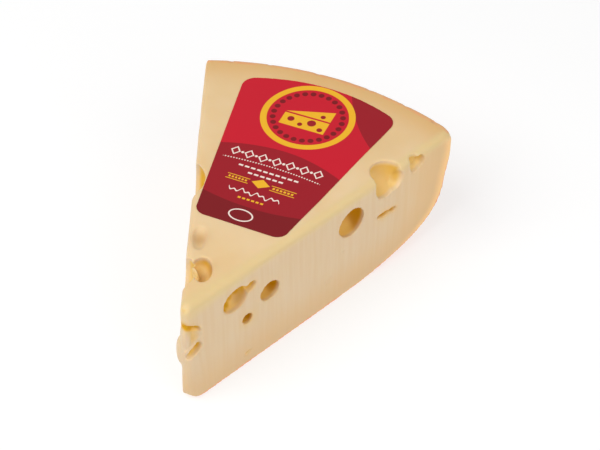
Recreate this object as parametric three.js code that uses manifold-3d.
// A wedge of large-eyed cheese with a printed label on its top. Millimetres, +Z up.
// The wedge is cut from the lower half of a wheel: two upright cuts meet in a blunt tip, the top is
// the level cut that halved the wheel, and the back and the underside are rind. The label lies flat
// on the top. The tip points along -Y and the rim lies towards +Y. The origin is under the middle of
// the wedge, on its underside.
import * as THREE from "three";
import { mergeVertices } from "three/addons/utils/BufferGeometryUtils.js";
import Module from "manifold-3d";

const wasm = await Module();
wasm.setup();

// ---- Driving dimensions -------------------------------------------------------------------------

const THICKNESS = 54; // underside to the level cut
const TOP_RADIUS = 145; // wheel radius at the level cut
const BELLY_RADIUS = 147.1; // the rim's fullest radius, a little below the level cut
const BELLY_HEIGHT = 45;
const FLAT_RADIUS = 82; // the underside is flat out to here, then turns up into the rim
const TURN_RADIUS = 142.6; // wheel radius where the turn meets the rim
const TURN_HEIGHT = 24;
const FLAT_PULL = 32; // the turn leaves the flat towards a point this far out
const TURN_PULL_IN = 3; // it meets the rim from a point this far in,
const TURN_PULL_SHARE = 0.3; // at this share of the turn's height
const BELLY_START_DROP = 9; // below its fullest height the belly starts here,
const BELLY_START_IN = 0.6; // this much nearer the axis
const TOP_SPREAD = 0.2; // the rim is this much wider just below its rounded top edge
const SHOULDER = 2; // rounding of the top edges
const HALF_ANGLE = THREE.MathUtils.degToRad(22.7); // each upright cut leaves the middle plane at this angle
const TIP_OVERSHOOT = 3; // the two cuts would meet this far past the wheel's axis
const TIP_RADIUS = 2.4; // blunting of the tip
const TIP_FOOT_RADIUS = 6.5; // rounding where the tip meets the underside
const WHEEL_SIDES = 128;
const PRISM_REACH = 1.15; // the cutting prism runs past the rim, as a share of the belly radius
const RINGS_PER_SIDE = 0.6; // rings on an eye's sphere for each of its sides

const TIP_Y = TIP_RADIUS / Math.sin(HALF_ANGLE) - TIP_RADIUS - TIP_OVERSHOOT; // from the wheel's axis
const AXIS_TO_ORIGIN = (BELLY_RADIUS + TIP_Y) / 2; // the origin lies this far in front of the wheel's axis

const LABEL_FOOT = 48.8; // the label's near edge, measured from the wheel's axis
const LABEL_HEAD = 137.8; // the middle of its far edge
const LABEL_FOOT_HALF = 18.8; // half widths where the straight edges would meet the near and far edges
const LABEL_HEAD_HALF = 35.4;
const LABEL_HEAD_DROP = 7.5; // the far edge is bowed: its corners lie this much nearer than its middle
const LABEL_HEAD_PULL = 12.4; // the bow's curve is pulled towards a point this far beyond the corners
const LABEL_CORNER = 8; // length of edge that each rounded corner takes
const LABEL_THICKNESS = 0.3;
const LABEL_SHIFT = -0.7;
const LABEL_TURN = THREE.MathUtils.degToRad(0.6);

// Eyes: the gas holes that the cuts opened. Each is an ellipsoid placed on one of the two upright
// cuts: along, from the sharp tip; up, from the underside; inset, its centre's depth behind the cut;
// radii along, up and deep; and the sides of its sphere.
const RIGHT_EYES = [
  { along: 111.2, up: 51.2, inset: 0.8, radii: [7, 9.4, 8.2], sides: 16 }, // opens the top edge
  { along: 115.2, up: 47.7, inset: 0.2, radii: [4.5, 4.9, 4.2], sides: 12 }, // its second chamber
  { along: 125.9, up: 50.8, inset: 0.5, radii: [2.6, 5.4, 2.8], sides: 12 },
  { along: 129.4, up: 48.2, inset: 0.3, radii: [2.8, 3, 2.8], sides: 10 },
  { along: 90.7, up: 40.4, inset: 3.4, radii: [7.1, 7.4, 9], sides: 16 },
  { along: 28.4, up: 41.9, inset: 0.8, radii: [6.3, 5.9, 5.6], sides: 16 },
  { along: 36.2, up: 43.5, inset: 0.1, radii: [2.7, 1.9, 3], sides: 10 }, // a short tail of that eye
  { along: 46.4, up: 33.6, inset: 2.4, radii: [5.2, 4.9, 7], sides: 14 },
  { along: 34.3, up: 26.1, inset: 1.2, radii: [2.5, 2.7, 4.4], sides: 10 },
  { along: 109.4, up: 32.3, inset: 0.2, radii: [4.3, 1.3, 3.2], sides: 10 }, // a slit
  { along: 114.5, up: 31.9, inset: 0.2, radii: [2.5, 1.2, 2.6], sides: 8 },
];
const LEFT_EYES = [
  { along: 23.4, up: 51.2, inset: 1, radii: [7.6, 6.2, 4.1], sides: 14 }, // two chambers of one eye
  { along: 24.4, up: 53, inset: 7.9, radii: [6.4, 5.4, 3.8], sides: 14 },
  { along: 74, up: 50, inset: 0, radii: [10.2, 9.4, 6], sides: 16 }, // opens the top edge
  { along: 51, up: 26, inset: 2.5, radii: [7, 6.6, 7.2], sides: 14 },
  { along: 99, up: 31, inset: 3, radii: [8.4, 8, 8.2], sides: 16 },
  { along: 106.5, up: 25.5, inset: 1.4, radii: [4, 3.6, 4], sides: 12 },
  { along: 121, up: 43, inset: 1.2, radii: [4.2, 3.8, 4.4], sides: 12 },
  { along: 72, up: 15, inset: 1.6, radii: [4.8, 4.4, 4.8], sides: 12 },
  { along: 32, up: 14, inset: 1, radii: [3.4, 3, 3.6], sides: 10 },
  { along: 62, up: 39, inset: 0.7, radii: [2.3, 2, 2.6], sides: 10 },
];
// The eye at the tip opens to the right and leaves a thin flap, pushed out to the left.
const TIP_EYE = { along: 5.6, up: 36, inset: 0, radii: [6, 9.2, 3.4], sides: 16 };
const TIP_FLAP = { along: 8.3, up: 28, inset: -0.1, radii: [4, 8.5, 2.5], sides: 14 };

// ---- Solids -------------------------------------------------------------------------------------

// A closed three.js geometry as a manifold-3d solid. Triangles that merging has flattened are dropped.
function solidOf(geometry) {
  const bare = geometry.clone();
  bare.deleteAttribute("normal");
  bare.deleteAttribute("uv");
  const merged = mergeVertices(bare, 1e-4);
  const index = merged.index.array;
  const kept = [];
  for (let i = 0; i < index.length; i += 3) {
    const [a, b, c] = [index[i], index[i + 1], index[i + 2]];
    if (a !== b && b !== c && c !== a) kept.push(a, b, c);
  }
  const mesh = new wasm.Mesh({
    numProp: 3,
    vertProperties: merged.attributes.position.array,
    triVerts: new Uint32Array(kept),
  });
  return new wasm.Manifold(mesh);
}

function geometryOf(solid) {
  const mesh = solid.getMesh();
  const positions = new Float32Array(mesh.numVert * 3);
  for (let i = 0; i < mesh.numVert; i++) {
    positions.set(mesh.vertProperties.subarray(i * mesh.numProp, i * mesh.numProp + 3), i * 3);
  }
  const geometry = new THREE.BufferGeometry();
  geometry.setAttribute("position", new THREE.BufferAttribute(positions, 3));
  geometry.setIndex(new THREE.BufferAttribute(mesh.triVerts, 1));
  geometry.computeVertexNormals();
  return geometry;
}

// ---- The half wheel, about its own axis ---------------------------------------------------------

function halfWheel() {
  const turn = new THREE.CubicBezierCurve(
    new THREE.Vector2(FLAT_RADIUS, 0),
    new THREE.Vector2(FLAT_RADIUS + FLAT_PULL, 0),
    new THREE.Vector2(TURN_RADIUS - TURN_PULL_IN, TURN_HEIGHT * TURN_PULL_SHARE),
    new THREE.Vector2(TURN_RADIUS, TURN_HEIGHT),
  );
  const shoulder = new THREE.QuadraticBezierCurve(
    new THREE.Vector2(TOP_RADIUS + TOP_SPREAD, THICKNESS - SHOULDER),
    new THREE.Vector2(TOP_RADIUS, THICKNESS),
    new THREE.Vector2(TOP_RADIUS - SHOULDER, THICKNESS),
  );
  const profile = [
    new THREE.Vector2(0, 0),
    ...turn.getPoints(7),
    new THREE.Vector2(BELLY_RADIUS - BELLY_START_IN, BELLY_HEIGHT - BELLY_START_DROP),
    new THREE.Vector2(BELLY_RADIUS, BELLY_HEIGHT),
    ...shoulder.getPoints(3),
    new THREE.Vector2(0, THICKNESS),
  ];
  return new THREE.LatheGeometry(profile, WHEEL_SIDES).rotateX(Math.PI / 2);
}

// ---- The two upright cuts, as one prism with a blunt tip and rounded top edges ------------------

function cutPrism() {
  const reach = BELLY_RADIUS * PRISM_REACH;
  const centreY = TIP_Y + TIP_RADIUS;
  const touch = new THREE.Vector2(
    TIP_RADIUS * Math.cos(HALF_ANGLE),
    centreY - TIP_RADIUS * Math.sin(HALF_ANGLE),
  );
  const far = new THREE.Vector2(reach * Math.tan(HALF_ANGLE), reach - TIP_OVERSHOOT);
  const outline = new THREE.Shape();
  outline.moveTo(-far.x, far.y);
  outline.lineTo(-touch.x, touch.y);
  outline.absarc(0, centreY, TIP_RADIUS, Math.PI + HALF_ANGLE, -HALF_ANGLE, false);
  outline.lineTo(far.x, far.y);
  outline.closePath();
  const below = 2 * SHOULDER; // the prism's own lower edge stays clear below the wheel
  return new THREE.ExtrudeGeometry(outline, {
    depth: THICKNESS + below - 2 * SHOULDER,
    bevelEnabled: true,
    bevelThickness: SHOULDER,
    bevelSize: SHOULDER,
    bevelOffset: -SHOULDER,
    bevelSegments: 3,
    curveSegments: 6,
  }).translate(0, 0, SHOULDER - below);
}

// The wedge seen from its side, which rounds the foot of the tip.
function sideSilhouette() {
  const outline = new THREE.Shape();
  outline.moveTo(TIP_Y, 2 * THICKNESS);
  outline.lineTo(TIP_Y, TIP_FOOT_RADIUS);
  outline.absarc(TIP_Y + TIP_FOOT_RADIUS, TIP_FOOT_RADIUS, TIP_FOOT_RADIUS, Math.PI, 1.5 * Math.PI, false);
  outline.lineTo(2 * TOP_RADIUS, 0);
  outline.lineTo(2 * TOP_RADIUS, 2 * THICKNESS);
  outline.closePath();
  const width = 2 * TOP_RADIUS;
  return new THREE.ExtrudeGeometry(outline, { depth: width, bevelEnabled: false, curveSegments: 6 })
    .translate(0, 0, -width / 2)
    .rotateX(Math.PI / 2)
    .rotateZ(Math.PI / 2);
}

// ---- Eyes ---------------------------------------------------------------------------------------

// An ellipsoid on the right cut (side 1) or the left cut (side -1).
function eye({ along, up, inset, radii, sides }, side) {
  const run = new THREE.Vector3(side * Math.sin(HALF_ANGLE), Math.cos(HALF_ANGLE), 0);
  const outward = new THREE.Vector3(side * Math.cos(HALF_ANGLE), -Math.sin(HALF_ANGLE), 0);
  const centre = new THREE.Vector3(0, -TIP_OVERSHOOT, up)
    .addScaledVector(run, along)
    .addScaledVector(outward, -inset);
  return new THREE.SphereGeometry(1, sides, Math.round(sides * RINGS_PER_SIDE))
    .rotateX(Math.PI / 2)
    .scale(radii[0], radii[2], radii[1])
    .rotateZ(Math.atan2(run.y, run.x))
    .translate(centre.x, centre.y, centre.z);
}

function cheese() {
  let solid = solidOf(halfWheel()).intersect(solidOf(cutPrism())).intersect(solidOf(sideSilhouette()));
  solid = solid.add(solidOf(eye(TIP_FLAP, -1)));
  for (const spec of [...RIGHT_EYES, TIP_EYE]) solid = solid.subtract(solidOf(eye(spec, 1)));
  for (const spec of LEFT_EYES) solid = solid.subtract(solidOf(eye(spec, -1)));
  return geometryOf(solid);
}

// ---- The label ----------------------------------------------------------------------------------

// A point that lies the given length from corner towards other.
function towards(corner, other, length) {
  return other.clone().sub(corner).setLength(length).add(corner);
}

function label() {
  const middle = (LABEL_FOOT + LABEL_HEAD) / 2;
  const foot = new THREE.Vector2(LABEL_FOOT_HALF, LABEL_FOOT - middle);
  const head = new THREE.Vector2(LABEL_HEAD_HALF, LABEL_HEAD - LABEL_HEAD_DROP - middle);
  const bow = new THREE.Vector2(0, head.y + LABEL_HEAD_PULL);
  const mirrored = (p) => new THREE.Vector2(-p.x, p.y);
  const footIn = towards(foot, mirrored(foot), LABEL_CORNER);
  const footUp = towards(foot, head, LABEL_CORNER);
  const headDown = towards(head, foot, LABEL_CORNER);
  const headIn = towards(head, bow, LABEL_CORNER);
  const outline = new THREE.Shape();
  outline.moveTo(-footIn.x, footIn.y);
  outline.lineTo(footIn.x, footIn.y);
  outline.quadraticCurveTo(foot.x, foot.y, footUp.x, footUp.y);
  outline.lineTo(headDown.x, headDown.y);
  outline.quadraticCurveTo(head.x, head.y, headIn.x, headIn.y);
  outline.quadraticCurveTo(bow.x, bow.y, -headIn.x, headIn.y);
  outline.quadraticCurveTo(-head.x, head.y, -headDown.x, headDown.y);
  outline.lineTo(-footUp.x, footUp.y);
  outline.quadraticCurveTo(-foot.x, foot.y, -footIn.x, footIn.y);
  const geometry = new THREE.ExtrudeGeometry(outline, {
    depth: LABEL_THICKNESS,
    bevelEnabled: false,
    curveSegments: 8,
  });
  return { geometry, middle };
}

// ---- Assembly -----------------------------------------------------------------------------------

const part = new THREE.Group();
const wheelFrame = new THREE.Group(); // the wheel's own frame, with its axis on Z
wheelFrame.position.y = -AXIS_TO_ORIGIN;
part.add(wheelFrame);

const cheeseMesh = new THREE.Mesh(
  cheese(),
  new THREE.MeshStandardMaterial({ color: 0xe2c596, roughness: 0.5, metalness: 0 }),
);
cheeseMesh.name = "cheese_wedge";
wheelFrame.add(cheeseMesh);

const { geometry: labelGeometry, middle: labelMiddle } = label();
const labelMesh = new THREE.Mesh(
  labelGeometry,
  new THREE.MeshStandardMaterial({ color: 0xc92c3a, roughness: 0.4, metalness: 0 }),
);
labelMesh.name = "label";
labelMesh.position.set(LABEL_SHIFT, labelMiddle, THICKNESS);
labelMesh.rotation.z = LABEL_TURN;
wheelFrame.add(labelMesh);

export default part;
